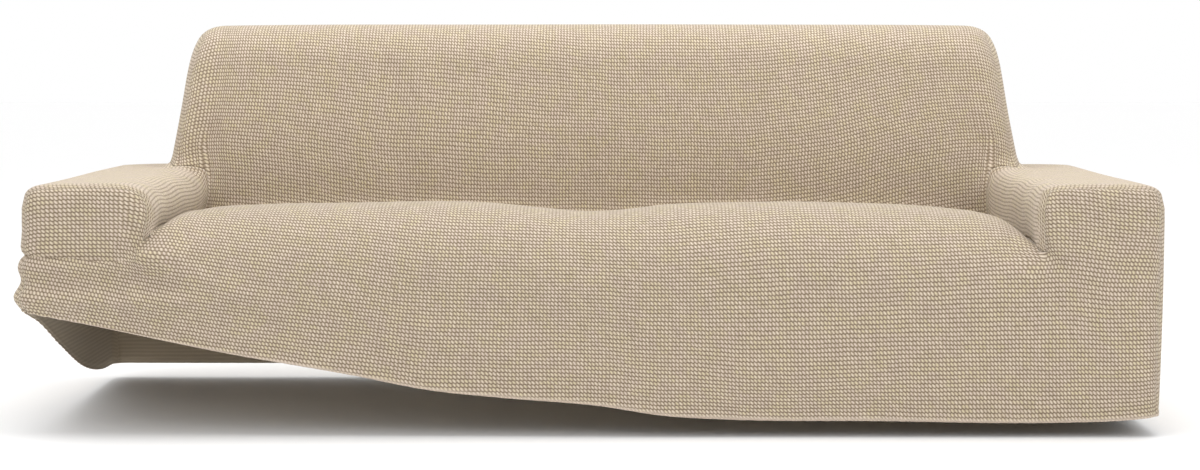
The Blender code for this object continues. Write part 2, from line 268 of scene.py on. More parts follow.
def cover_field(x, y, z):
    """Below zero inside the covered shape, zero on the cloth's outer face."""
    side = np.abs(x)
    tuck = HEM_TUCK * np.clip(1.0 - z / HEM_TUCK_HEIGHT, 0.0, 1.0) ** HEM_TUCK_CURVE
    pillow = ARM_PILLOW * ((side - ARM_MIDDLE) / ARM_HALF) ** 2
    edge = np.where(x < 0.0, ARM_EDGE_LOOSE, ARM_EDGE)
    arm = soft_max(arm_wall(x, z) - side, z - ARM_TOP + pillow, edge)
    body = soft_min(arm, z - seat_height(x, y), ARM_TO_SEAT)

    crown = BACK_TOP_FALL * (side / BACK_TOP_HALF) ** 4
    way_up = np.clip((z - BACK_SWELL_MIDDLE) / BACK_SWELL_SPAN, -0.5, 0.5)
    swell = BACK_SWELL * np.cos(math.pi * way_up)
    face = BACK_FRONT + back_lean(z) - swell
    back = soft_max(face - y, z - BACK_TOP + crown, BACK_TOP_EDGE)
    back = soft_max(back, side - back_half(z), BACK_SIDE_EDGE)
    reach = SEAT_TO_BACK + (ARM_TO_BACK - SEAT_TO_BACK) * soft_step(side, *BACK_CORNER)
    body = soft_min(body, back, reach)

    roll_start = np.where(x < 0.0, ROLL_START_LOOSE, ROLL_START)
    roll = soft_step(side, roll_start, ROLL_END)
    roll = SEAT_ROLL + (ARM_FRONT_EDGE - SEAT_ROLL) * roll
    body = soft_max(body, tuck - HALF_DEPTH - y, roll)
    body = soft_max(body, side - HALF_WIDTH + tuck, SIDE_EDGE)
    return soft_max(body, y - HALF_DEPTH + tuck, REAR_EDGE)


SETTLE_STEP = 1.0e-4
SETTLE_ROUNDS = 8
SLOPE_FLOOR = 0.25


def settle(points, sideways):
    """Brings the points of the grid on to the covered shape, moving those
    between the arms only forwards, back, up and down."""
    step = SETTLE_STEP
    for _ in range(SETTLE_ROUNDS):
        x, y, z = points.T
        here = cover_field(x, y, z)
        slope = np.stack(
            [
                cover_field(x + step, y, z) - cover_field(x - step, y, z),
                cover_field(x, y + step, z) - cover_field(x, y - step, z),
                cover_field(x, y, z + step) - cover_field(x, y, z - step),
            ],
            axis=1,
        ) / (2.0 * step)
        slope[:, 0] *= sideways
        size = np.maximum((slope**2).sum(axis=1), SLOPE_FLOOR)
        points = points - slope * (here / size)[:, None]
    return points


TAPER_REACH = 0.080
ARM_WALL_REACH = 0.040
ARM_WALL_FOOT = 0.305
ARM_WALL_FADE = 0.060


def drape(x, y, z, hem):
    """Moves a grid point to where its part of the cloth lies, roughly."""
    seat = seat_height(x, y)
    low = hem + (seat - hem) * (z - HEM_LEVEL) / (SEAT_LINE - HEM_LEVEL)
    mid = seat + (ARM_TOP - seat) * (z - SEAT_LINE) / (ARM_TOP - SEAT_LINE)
    height = np.where(z <= SEAT_LINE, low, np.where(z <= ARM_TOP, mid, z))
    taper = soft_step(z, ARM_TOP, ARM_TOP + TAPER_REACH)
    across = x * (1.0 + (back_half(height) / BACK_LINE - 1.0) * taper)
    near_wall = np.exp(-(((np.abs(x) - ARM_INNER) / ARM_WALL_REACH) ** 2))
    wall_top = ARM_WALL_FOOT + ARM_WALL_FADE
    near_wall = near_wall * soft_step(height, ARM_WALL_FOOT, wall_top)
    across = across + np.sign(x) * (arm_wall(x, height) - ARM_INNER) * near_wall
    at_back = (y >= BACK_FRONT - TOUCH) & (np.abs(x) < BACK_LINE + HAIR)
    lean = back_lean(height) * (HALF_DEPTH - y) / (HALF_DEPTH - BACK_FRONT)
    return np.stack([across, np.where(at_back, y + lean, y), height], axis=1)


# Folds: each runs along a bent line and stands out (+) or is drawn in (-).
# A row gives its face, start, middle, end, half breadth and height.
FOLD_ROWS = (
    # Left arm front: a lip of loose cloth over the lifted skirt.
    ("front", (-1.24, 0.368), (-0.985, 0.361), (-0.885, 0.372), 0.014, 0.003),
    ("front", (-1.24, 0.355), (-0.985, 0.347), (-0.875, 0.352), 0.006, -0.007),
    ("front", (-1.30, 0.333), (-0.985, 0.329), (-0.700, 0.372), 0.018, 0.009),
    ("front", (-1.30, 0.276), (-0.960, 0.264), (-0.660, 0.262), 0.022, 0.018),
    ("front", (-1.30, 0.240), (-0.985, 0.220), (-0.700, 0.160), 0.010, -0.005),
    # Pulls that fan from the seat's left end down the lifted skirt.
    ("front", (-0.860, 0.345), (-0.740, 0.300), (-0.560, 0.235), 0.020, 0.005),
    ("front", (-0.840, 0.300), (-0.700, 0.245), (-0.500, 0.180), 0.022, -0.004),
    ("front", (-0.500, 0.270), (-0.300, 0.200), (-0.080, 0.140), 0.035, 0.004),
    ("front", (-0.150, 0.240), (0.060, 0.170), (0.280, 0.110), 0.040, -0.003),
    # Right arm: a dimple where seat, arm and front meet, and its crease.
    ("front", (0.876, 0.356), (0.886, 0.342), (0.904, 0.322), 0.014, -0.009),
    ("front", (0.905, 0.322), (0.930, 0.296), (0.965, 0.262), 0.020, -0.003),
    ("front", (0.800, 0.330), (0.850, 0.300), (0.900, 0.268), 0.024, 0.003),
    # The dip in the seat's middle runs a little way down the front.
    ("front", (-0.010, 0.400), (0.000, 0.345), (0.010, 0.290), 0.045, -0.005),
    # Soft upright folds in the inside of the back.
    ("back", (-0.440, 0.700), (-0.425, 0.580), (-0.430, 0.420), 0.030, -0.005),
    ("back", (-0.380, 0.700), (-0.370, 0.580), (-0.370, 0.420), 0.028, 0.004),
    ("back", (0.345, 0.660), (0.352, 0.540), (0.350, 0.420), 0.028, -0.004),
    ("back", (0.010, 0.740), (0.000, 0.620), (0.000, 0.500), 0.050, 0.004),
    # Drawn-in corners where the back meets the arms.
    ("back", (-0.830, 0.560), (-0.845, 0.500), (-0.852, 0.420), 0.030, -0.006),
    ("back", (0.830, 0.560), (0.845, 0.500), (0.852, 0.420), 0.030, -0.006),
)
LINE_STEPS = 12


def curve_distance(a, b, start, middle, end):
    """Distance to a bent line and the share of the way along it."""
    nearest = np.full(a.shape, FAR)
    share = np.zeros(a.shape)
    for index in range(LINE_STEPS):
        ends = []
        for t in (index / LINE_STEPS, (index + 1) / LINE_STEPS):
            ends.append(
                [
                    (1 - t) * (1 - 2 * t) * s + 4 * t * (1 - t) * m + t * (2 * t - 1) * e
                    for s, m, e in zip(start, middle, end)
                ]
            )
        (x0, z0), (x1, z1) = ends
        dx, dz = x1 - x0, z1 - z0
        t = np.clip(
            ((a - x0) * dx + (b - z0) * dz) / (dx * dx + dz * dz), 0.0, 1.0
        )
        gap = np.hypot(a - x0 - t * dx, b - z0 - t * dz)
        closer = gap < nearest
        nearest = np.where(closer, gap, nearest)
        share = np.where(closer, (index + t) / LINE_STEPS, share)
    return nearest, share


# A front fold runs on round the side; each fold dies out at its two ends and
# where the cloth turns away from its face.
SIDE_WRAP_START = 1.05
SIDE_WRAP_FRONT = 0.43
SIDE_WRAP_REACH = 0.6
FRONT_FACE = (0.20, 0.40)
FRONT_TURN = (-0.8, -0.3)
BACK_FACE = (0.14, 0.19)
BACK_TURN = (0.2, 0.6)
FOLD_START = (-0.35, 0.20)
FOLD_END = (-0.05, 0.35)


def fold_height(points, normals):
    x, y, z = points.T
    beyond = np.clip(y + SIDE_WRAP_FRONT, 0.0, SIDE_WRAP_REACH)
    on_side = np.abs(x) > SIDE_WRAP_START
    wrapped = x + np.where(x < 0.0, -1.0, 1.0) * beyond * on_side
    faces = {
        "front": soft_step(-y, *FRONT_FACE) * soft_step(-normals[:, 2], *FRONT_TURN),
        "back": soft_step(y, *BACK_FACE) * soft_step(-normals[:, 1], *BACK_TURN),
    }
    total = np.zeros(len(points))
    for face, start, middle, end, breadth, height in FOLD_ROWS:
        gap, share = curve_distance(wrapped, z, start, middle, end)
        fade = soft_step(share, *FOLD_START) * soft_step(1.0 - share, *FOLD_END)
        total += height * np.exp(-((gap / breadth) ** 2)) * fade * faces[face]
    return total


SLACK_HEIGHT = 0.0015


def slack(points):
    """Shallow unevenness of cloth in light tension."""
    x, y, z = points.T
    return SLACK_HEIGHT * (
        np.sin(5.1 * x + 3.0 * z + 0.6) * np.sin(7.3 * z - 2.0 * y + 1.1)
        + 0.7 * np.sin(9.7 * x - 4.2 * y + 2.3) * np.sin(6.1 * z + 5.0 * y)
    )


# Stations of the cloth grid, made finer below and close beside each seam.
WIDEST_STEP = 0.0095
CLOSEST_STEP = 0.0035
SEAM_STEPS = (0.0025, 0.0060)
HEM_STEPS = (0.003, 0.008, 0.013, 0.018)
X_LINES = (0.0, 0.812, ARM_INNER, BACK_LINE, 1.070, HALF_WIDTH)
Y_LINES = (-HALF_DEPTH, -0.400, 0.155, BACK_FRONT, 0.250, 0.395, HALF_DEPTH)
Z_LINES = (HEM_LEVEL, HEM_LEVEL + HEM_BAND, SEAT_LINE, ARM_TOP, 0.730, BACK_TOP)


def refined(lines, seams, extra=()):
    """Stations no further apart than the widest step, and close by a seam."""
    stations = set(lines) | set(extra)
    for low, high in zip(lines, lines[1:]):
        count = max(1, math.ceil((high - low) / WIDEST_STEP))
        stations.update(low + (high - low) * n / count for n in range(count + 1))
    near = {s + sign * step for s in seams for step in SEAM_STEPS for sign in (-1, 1)}
    near = {n for n in near if lines[0] < n < lines[-1]}
    fixed = sorted(set(lines) | set(extra) | near)
    kept = set(fixed)
    for station in stations:
        if min(abs(station - f) for f in fixed) > CLOSEST_STEP:
            kept.add(station)
    ordered = []
    for station in sorted(kept):
        if not ordered or station - ordered[-1] > TOUCH:
            ordered.append(station)
    return ordered


right_half = refined(X_LINES, (ARM_INNER, BACK_LINE, HALF_WIDTH))
grid_x = np.array([-value for value in reversed(right_half[1:])] + right_half)
grid_y = np.array(refined(Y_LINES, (-HALF_DEPTH, BACK_FRONT, HALF_DEPTH)))
hem_lines = [HEM_LEVEL + step for step in HEM_STEPS]
grid_z = np.array(refined(Z_LINES, (SEAT_LINE, ARM_TOP, BACK_TOP), hem_lines))


def station(lines, value):
    """Number of the grid line at a given place."""
    return int(np.argmin(np.abs(lines - value)))


# Grid lines on which the seams lie, on the left (-1) and the right (1).
I_ARM = {-1: station(grid_x, -ARM_INNER), 1: station(grid_x, ARM_INNER)}
I_BACK = {-1: station(grid_x, -BACK_LINE), 1: station(grid_x, BACK_LINE)}
I_SIDE = {-1: 0, 1: len(grid_x) - 1}
J_BACK = station(grid_y, BACK_FRONT)
K_SEAT = station(grid_z, SEAT_LINE)
K_ARM = station(grid_z, ARM_TOP)
K_TOP = len(grid_z) - 1


def cell_cover():
    """Which cells of the grid lie inside the cover."""
    x, y, z = [(line[1:] + line[:-1]) / 2 for line in (grid_x, grid_y, grid_z)]
    side = np.abs(x)[:, None, None]
    y = y[None, :, None]
    z = z[None, None, :]
    arm = (side > ARM_INNER) & (z < ARM_TOP) & (y < HALF_DEPTH)
    seat = (side < ARM_INNER) & (z < SEAT_LINE) & (y < HALF_DEPTH)
    back = (side < BACK_LINE) & (y > BACK_FRONT) & (z < BACK_TOP)
    return arm | seat | back


def grid_faces():
    """Outer faces of the covered cells: axis, side faced and four corners."""
    inside = cell_cover()
    padded = np.pad(inside, 1)
    found = []
    for axis in range(3):
        first, second = (axis + 1) % 3, (axis + 2) % 3
        for sign in (-1, 1):
            beyond = np.roll(padded, -sign, axis)[1:-1, 1:-1, 1:-1]
            cells = np.argwhere(inside & ~beyond)
            if axis == 2 and sign < 0:
                cells = cells[cells[:, 2] > 0]
            cells[:, axis] += sign > 0
            corners = []
            for a, b in ((0, 0), (1, 0), (1, 1), (0, 1)):
                corner = cells.copy()
                corner[:, first] += a
                corner[:, second] += b
                corners.append(corner)
            if sign < 0:
                corners.reverse()
            found.append((axis, sign, np.stack(corners, axis=1)))
    return found


def surface_normals(points, faces):
    """Direction in which the cloth faces at each of its points."""
    survey = bpy.data.meshes.new("survey")
    survey.from_pydata(points.tolist(), [], faces.tolist())
    survey.update()
    values = np.empty(len(points) * 3)
    survey.vertex_normals.foreach_get("vector", values)
    bpy.data.meshes.remove(survey)
    return values.reshape(-1, 3)


def panel_names(axis, sign, corners):
    """The cut piece of each face, and the run of knit that it belongs to."""
    x = np.abs(grid_x[corners[..., 0]].mean(axis=1))
    left = grid_x[corners[..., 0]].mean(axis=1) < 0.0
    y = grid_y[corners[..., 1]].mean(axis=1)
    z = grid_z[corners[..., 2]].mean(axis=1)
    arm = np.where(left, "arm_left", "arm_right")
    if axis == 1 and sign > 0:
        return np.full(len(x), "back_outside"), np.full(len(x), "rear")
    if axis == 1:
        inner = y > 0.0
        loose = left & (x > ARM_INNER) & (z > SEAT_LINE)
        run = np.where(inner, "back", np.where(loose, "loose", "front"))
        return np.where(inner, "back_inside", "seat_front"), run
    high = z > ARM_TOP + HAIR
    if axis == 0:
        return np.where(high, "back_inside", arm), np.where(high, "wing", "arm")
    seat = x < ARM_INNER
    panel = np.where(high, "back_inside", np.where(seat, "seat_front", arm))
    return panel, np.where(high, "back", np.where(seat, "front", "arm"))


# Every face of the cover, with its panel and its run of knit, and every point
# with its place in the grid before it is draped.
all_corners, all_panels, all_runs = [], [], []
for face_axis, face_sign, face_corners in grid_faces():
    names, runs = panel_names(face_axis, face_sign, face_corners)
    all_corners.append(face_corners)
    all_panels.append(names)
    all_runs.append(runs)
all_corners = np.concatenate(all_corners)
all_panels = np.concatenate(all_panels)
all_runs = np.concatenate(all_runs)
shape = (len(grid_x), len(grid_y), len(grid_z))
flat_keys = np.ravel_multi_index(tuple(np.moveaxis(all_corners, -1, 0)), shape)
used_keys, cover_faces = np.unique(flat_keys, return_inverse=True)
cover_faces = cover_faces.reshape(flat_keys.shape)
key_i, key_j, key_k = np.unravel_index(used_keys, shape)
raw_x, raw_y, raw_z = grid_x[key_i], grid_y[key_j], grid_z[key_k]
point_of = np.full(shape, -1)
point_of[key_i, key_j, key_k] = np.arange(len(used_keys))

# Inner corners of the cover, in rows of the low and high end of each line.
# The cloth beside them slides until it lies evenly.
CREASE_ROWS = (
    ((ARM_INNER, -HALF_DEPTH, SEAT_LINE), (ARM_INNER, BACK_FRONT, SEAT_LINE)),
    ((ARM_INNER, BACK_FRONT, SEAT_LINE), (ARM_INNER, BACK_FRONT, ARM_TOP)),
    ((ARM_INNER, BACK_FRONT, ARM_TOP), (BACK_LINE, BACK_FRONT, ARM_TOP)),
    ((BACK_LINE, BACK_FRONT, ARM_TOP), (BACK_LINE, HALF_DEPTH, ARM_TOP)),
)
CREASE_REACH = 0.050
CREASE_ROUNDS = 14
CREASE_SLIDE = 0.6
CREASE_FRONT = (-0.430, -0.330)


def slid_even(points, sideways):
    """Draws each point beside an inner corner towards its neighbours' middle."""
    place = np.stack([np.abs(raw_x), raw_y, raw_z], axis=1)
    gap = np.full(len(points), FAR)
    for low, high in CREASE_ROWS:
        nearest = np.clip(place, low, high)
        gap = np.minimum(gap, np.linalg.norm(place - nearest, axis=1))
    share = CREASE_SLIDE * np.exp(-((gap / CREASE_REACH) ** 2))
    share = share * (raw_z > HEM_LEVEL + HEM_BAND) * soft_step(raw_y, *CREASE_FRONT)
    share = share * (raw_y < HALF_DEPTH - HAIR)
    edges = [cover_faces[:, [n, (n + 1) % 4]] for n in range(4)]
    edges = np.unique(np.sort(np.concatenate(edges), axis=1), axis=0)
    count = np.bincount(edges.ravel(), minlength=len(points))
    for _ in range(CREASE_ROUNDS):
        total = np.zeros_like(points)
        np.add.at(total, edges[:, 0], points[edges[:, 1]])
        np.add.at(total, edges[:, 1], points[edges[:, 0]])
        middle = total / count[:, None]
        points = settle(points + (middle - points) * share[:, None], sideways)
    return points


# The cover as sewn hangs level all round; as worn its left corner is lifted.
# Cloth of the front between the arms keeps its place from side to side.
FRONT_HELD = (-0.360, -0.260)
beside_arm = np.where(
    np.abs(raw_x) > ARM_INNER - HAIR, 1.0, soft_step(raw_y, *FRONT_HELD)
)
level_hem = np.full(len(raw_x), HEM_LEVEL)
lifted_hem = hem_height(raw_x, raw_y)
sewn = settle(drape(raw_x, raw_y, raw_z, level_hem), beside_arm)
worn = settle(drape(raw_x, raw_y, raw_z, lifted_hem), beside_arm)
worn = slid_even(worn, beside_arm)
in_band = raw_z < HEM_LEVEL + HEM_BAND + TOUCH
band_share = (raw_z - HEM_LEVEL) / (SEAT_LINE - HEM_LEVEL)
hem_here = hem_height(worn[:, 0], worn[:, 1])
seat_here = seat_height(worn[:, 0], worn[:, 1])
worn[in_band, 2] = (hem_here + (seat_here - hem_here) * band_share)[in_band]
smooth = worn.copy()
worn_normals = surface_normals(worn, cover_faces)

# The arms' inner sides are gathered in soft upright waves of uneven length.
GATHER_HEIGHT = 0.0015
GATHER_LENGTH = 0.230
GATHER_LEAN = 9.0
GATHER_UNEVEN = 1.3
GATHER_REACH = 0.035
GATHER_FRONT = (-0.400, -0.300)
GATHER_REAR = (-0.180, -0.080)
GATHER_FOOT = (0.400, 0.430)
gather_way = raw_y * 2 * math.pi / GATHER_LENGTH + GATHER_LEAN * raw_z
gather_shift = GATHER_UNEVEN * np.sin(11.0 * raw_y + 3.0 * raw_x + 0.8)
gather_wave = np.sin(gather_way + gather_shift)
gather_share = np.exp(-(((np.abs(worn[:, 0]) - ARM_INNER) / GATHER_REACH) ** 2))
gather_share = gather_share * soft_step(worn[:, 1], *GATHER_FRONT)
gather_share = gather_share * soft_step(-worn[:, 1], *GATHER_REAR)
gather_share = gather_share * soft_step(worn[:, 2], *GATHER_FOOT)
gathers = GATHER_HEIGHT * gather_wave * gather_share
lift = fold_height(worn, worn_normals) + slack(worn) + gathers
worn = worn + worn_normals * lift[:, None]
worn_normals = surface_normals(worn, cover_faces)

# Knit places: metres along and across the rows of the cloth as it was sewn.
RUNS = ("front", "loose", "arm", "back", "wing", "rear")
knit_u = {run: np.zeros(len(sewn)) for run in RUNS}
knit_v = {run: np.zeros(len(sewn)) for run in RUNS}


def lengths_along(path):
    """Length run from the first point of each row of a table of points."""
    gaps = np.linalg.norm(smooth[path[:, 1:]] - smooth[path[:, :-1]], axis=2)
    gaps[(path[:, 1:] < 0) | (path[:, :-1] < 0)] = 0.0
    return np.concatenate([np.zeros((len(path), 1)), np.cumsum(gaps, axis=1)], axis=1)


def note(table, path, values):
    """Writes values at the points of a path, where there is a point."""
    there = path >= 0
    table[path[there]] = values[there]


for run in ("front", "loose", "back"):
    knit_u[run] = raw_x.copy()
knit_u["arm"] = raw_y.copy()

# Across the front, in rows of x, closeness, row shift and column shift, the
# rows of knit lie closer towards the lifted corner. The left arm's front
# keeps its own level rows above the lip that hides the slack.
KNIT_ROWS = (
    (-1.10, 1.140, 0.000, -0.030),
    (-0.70, 1.140, -0.015, -0.028),
    (-0.40, 1.100, -0.031, -0.012),
    (-0.20, 1.095, -0.047, -0.003),
    (0.00, 1.090, -0.062, 0.000),
    (0.20, 1.060, -0.080, 0.000),
    (0.35, 1.030, -0.081, 0.000),
    (0.58, 1.055, -0.081, 0.000),
    (0.81, 1.070, -0.079, 0.000),
    (1.10, 1.110, -0.084, 0.000),
)
LEFT_ARM_ROWS = 1.08
LEFT_ARM_RUN = 0.620
closeness = follow([row[:2] for row in KNIT_ROWS], grid_x)[:, None]
front_path = point_of[:, 0, : K_ARM + 1]
note(knit_v["front"], front_path, lengths_along(front_path) * closeness)
loose_path = point_of[: I_ARM[-1] + 1, 0, K_ARM : K_SEAT - 1 : -1]
loose_lengths = lengths_along(loose_path) * LEFT_ARM_ROWS
note(knit_v["loose"], loose_path, LEFT_ARM_RUN - loose_lengths)

# The front's rows run on over the roll and across the seat to the crease.
seat_columns = slice(I_ARM[-1], I_ARM[1] + 1)
seat_path = point_of[seat_columns, : J_BACK + 1, K_SEAT]
seat_start = knit_v["front"][seat_path[:, :1]]
note(knit_v["front"], seat_path, seat_start + lengths_along(seat_path))

# On each arm they run from the outer side's hem over the top and down inside.
for side_sign in (-1, 1):
    outer = point_of[I_SIDE[side_sign], :, K_ARM::-1]
    note(knit_v["arm"], outer, -lengths_along(outer))
    inward = slice(I_SIDE[side_sign], I_ARM[side_sign] - side_sign, -side_sign)
    if side_sign < 0:
        inward = slice(0, I_ARM[-1] + 1)
    over = point_of[inward, :, K_ARM].T
    over_lengths = lengths_along(over)
    note(knit_v["arm"], over, over_lengths)
    down = point_of[I_ARM[side_sign], : J_BACK + 1, K_ARM : K_SEAT - 1 : -1]
    start = knit_v["arm"][down[:, :1]]
    note(knit_v["arm"], down, start + lengths_along(down))

# On the back they are counted from the top, and go on round its short sides.
BACK_RUN = 0.600
back_columns = slice(I_BACK[-1], I_BACK[1] + 1)
inner_back = point_of[back_columns, J_BACK, K_TOP : K_SEAT - 1 : -1]
note(knit_v["back"], inner_back, BACK_RUN - lengths_along(inner_back))
over_back = point_of[back_columns, J_BACK:, K_TOP]
note(knit_v["back"], over_back, BACK_RUN + lengths_along(over_back))
for side_sign in (-1, 1):
    wing = point_of[I_BACK[side_sign], J_BACK:, K_ARM:].T
    lengths = lengths_along(wing)
    note(knit_u["wing"], wing, side_sign * (BACK_LINE + lengths))
    edge_rows = np.repeat(knit_v["back"][wing[:, :1]], wing.shape[1], axis=1)
    note(knit_v["wing"], wing, edge_rows)
knit_u["rear"] = smooth[:, 0].copy()
knit_v["rear"] = smooth[:, 2].copy()

# How far the rows sag across the back, in rows of x, sag at the top and sag
# low down, and how they run across the front, in rows of x, run just under
# the seat and run along the hem.
BACK_SAG_ROWS = (
    (-0.92, 0.004, -0.004),
    (-0.80, 0.000, 0.000),
    (-0.62, 0.006, 0.022),
    (-0.46, 0.020, 0.048),
    (-0.30, 0.029, 0.058),
    (-0.13, 0.045, 0.062),
    (0.03, 0.060, 0.063),
    (0.20, 0.062, 0.066),
    (0.36, 0.059, 0.065),
    (0.53, 0.038, 0.042),
    (0.70, 0.004, -0.001),
    (0.86, -0.004, -0.022),
    (0.92, 0.004, -0.020),
)
FRONT_SAG_ROWS = (
    (-1.10, 0.000, 0.000),
    (-0.60, 0.000, 0.000),
    (0.00, 0.000, 0.000),
    (0.14, 0.002, 0.003),
    (0.30, 0.000, 0.010),
    (0.46, -0.008, 0.009),
    (0.62, -0.020, -0.001),
    (0.80, -0.036, -0.008),
    (0.90, -0.040, -0.008),
    (0.98, -0.032, -0.005),
    (1.10, -0.016, 0.000),
)
BACK_SAG_LOW = (0.42, 0.74)
BACK_SAG_END = 0.92
FRONT_SAG_LOW = (0.10, 0.38)
FRONT_SAG_FOOT = (0.02, 0.12)
FAN_LEFT = -0.16
FAN_RIGHT = 0.03
FAN_START = (0.0, 0.7)


def two_level(rows, x, share):
    """Value at x between the two value columns of a table."""
    first = follow([(row[0], row[1]) for row in rows], x)
    second = follow([(row[0], row[2]) for row in rows], x)
    return first + (second - first) * share


low_share = 1.0 - soft_step(sewn[:, 2], *BACK_SAG_LOW)
for run in ("back", "wing"):
    place = np.clip(knit_u[run], -BACK_SAG_END, BACK_SAG_END)
    knit_v[run] = knit_v[run] + two_level(BACK_SAG_ROWS, place, low_share)
front_share = 1.0 - soft_step(sewn[:, 2], *FRONT_SAG_LOW)
on_front = soft_step(sewn[:, 2], *FRONT_SAG_FOOT)
fan = np.where(raw_x < 0.0, FAN_LEFT, FAN_RIGHT) * soft_step(np.abs(raw_x), *FAN_START)
knit_v["front"] = knit_v["front"] + on_front * two_level(
    FRONT_SAG_ROWS, raw_x, front_share
)
knit_u["front"] = knit_u["front"] + fan * (sewn[:, 2] - SEAT_LINE)
knit_v["front"] = knit_v["front"] + follow([row[::2] for row in KNIT_ROWS], raw_x)
knit_u["front"] = knit_u["front"] + follow([row[::3] for row in KNIT_ROWS], raw_x)

# The arms' fronts are drawn wider near their tops, and the rows along the
# arms' inner sides wave where the cloth is gathered over the seat.
ARM_FRONT_WIDER = 0.14
ARM_FRONT_HIGH = (0.26, 0.42)
GATHER_ROWS = 0.0022
GATHER_ROWS_END = (0.90, 1.00)
arm_share = soft_step(sewn[:, 2], *ARM_FRONT_HIGH)
arm_share = arm_share * np.clip(raw_x - ARM_INNER, 0.0, None)
knit_u["front"] = knit_u["front"] - ARM_FRONT_WIDER * arm_share
knit_u["loose"] = knit_u["loose"] * (1.0 - ARM_FRONT_WIDER)
inner_side = 1.0 - soft_step(np.abs(raw_x), *GATHER_ROWS_END)
knit_v["arm"] = knit_v["arm"] + GATHER_ROWS * gather_wave * inner_side

# A seam draws its two edges into a shallow groove; the hem's stitch line
# presses in above a slightly fuller turned edge that the elastic puckers.
GROOVE_DEPTH = 0.0016
GROOVE_REACH = 0.0045
PUCKER_HEIGHT = 0.0010
PUCKER_LENGTH = 0.031
PUCKER_UNEVEN = 2.0
PUCKER_REACH = 0.045
TURNED_EDGE = 0.0009
TURNED_PLACE = 0.008
TURNED_REACH = 0.007
STITCH_DEPTH = 0.0008
STITCH_PLACE = 0.018
STITCH_REACH = 0.004
seam_points = set()
for name in ("seat_front", "arm_left", "arm_right", "back_inside", "back_outside"):
    mine = set(cover_faces[all_panels == name].ravel().tolist())
    rest = set(cover_faces[all_panels != name].ravel().tolist())
    seam_points |= mine & rest
seam_points = sorted(seam_points)
seam_tree = kdtree.KDTree(len(seam_points))
for order, index in enumerate(seam_points):
    seam_tree.insert(worn[index], order)
seam_tree.balance()
seam_gap = np.array([seam_tree.find(point)[2] for point in worn])
groove = -GROOVE_DEPTH * np.exp(-((seam_gap / GROOVE_REACH) ** 2))
above_hem = np.clip(raw_z - HEM_LEVEL, 0.0, 0.2)
hem_way = np.where(np.abs(raw_x) > HALF_WIDTH - HAIR, raw_y, raw_x)
uneven = PUCKER_UNEVEN * np.sin(hem_way * 11.0)
pucker = PUCKER_HEIGHT * np.sin(hem_way * 2 * math.pi / PUCKER_LENGTH + uneven)
pucker = pucker * np.exp(-((above_hem / PUCKER_REACH) ** 2))
turned = TURNED_EDGE * np.exp(-(((above_hem - TURNED_PLACE) / TURNED_REACH) ** 2))
pressed = -STITCH_DEPTH * np.exp(-(((above_hem - STITCH_PLACE) / STITCH_REACH) ** 2))
worn = worn + worn_normals * (groove + pucker + turned + pressed)[:, None]

# The hem's very edge shows the paler fold of the turned knit.
HEM_EDGE = 0.0065
hem_edge = 1.0 - soft_step(above_hem, 0.5 * HEM_EDGE, 1.5 * HEM_EDGE)
worn_normals = surface_normals(worn, cover_faces)

# Knit of raised cream lozenges on a beige ground, in rows and columns.
PIP_WIDE = 0.0070
PIP_HIGH = 0.0083
PIP_TURN = math.radians(-54.0)
PIP_LONG = 0.56
PIP_SHORT = 0.30
ROW_EDGE = 0.18
PIP_LIGHT = (0.930, 0.800, 0.640, 1.0)
PIP_YELLOW = (0.850, 0.735, 0.490, 1.0)
PIP_PINK = (0.850, 0.700, 0.595, 1.0)
HEM_CREAM = (0.860, 0.715, 0.590, 1.0)
# Rim of each pip, darker than its crown: painted shade on its rounded sides.
PIP_EDGE = (0.500, 0.398, 0.288, 1.0)
GROUND_DARK = (0.190, 0.140, 0.090, 1.0)
GROUND_LIGHT = (0.420, 0.330, 0.235, 1.0)
PIP_DRIFT_X = 0.08
PIP_DRIFT_Y = 0.06
YARN_RIB = 0.00105
WAVER_SCALE = 9.0
WAVER_REACH = (0.0060, 0.0075, 0.0)
FRAY_SCALE = 620.0
FIBRE_SCALE = 1400.0
SHADE_SCALE = 34.0
HUE_SCALE = 21.0


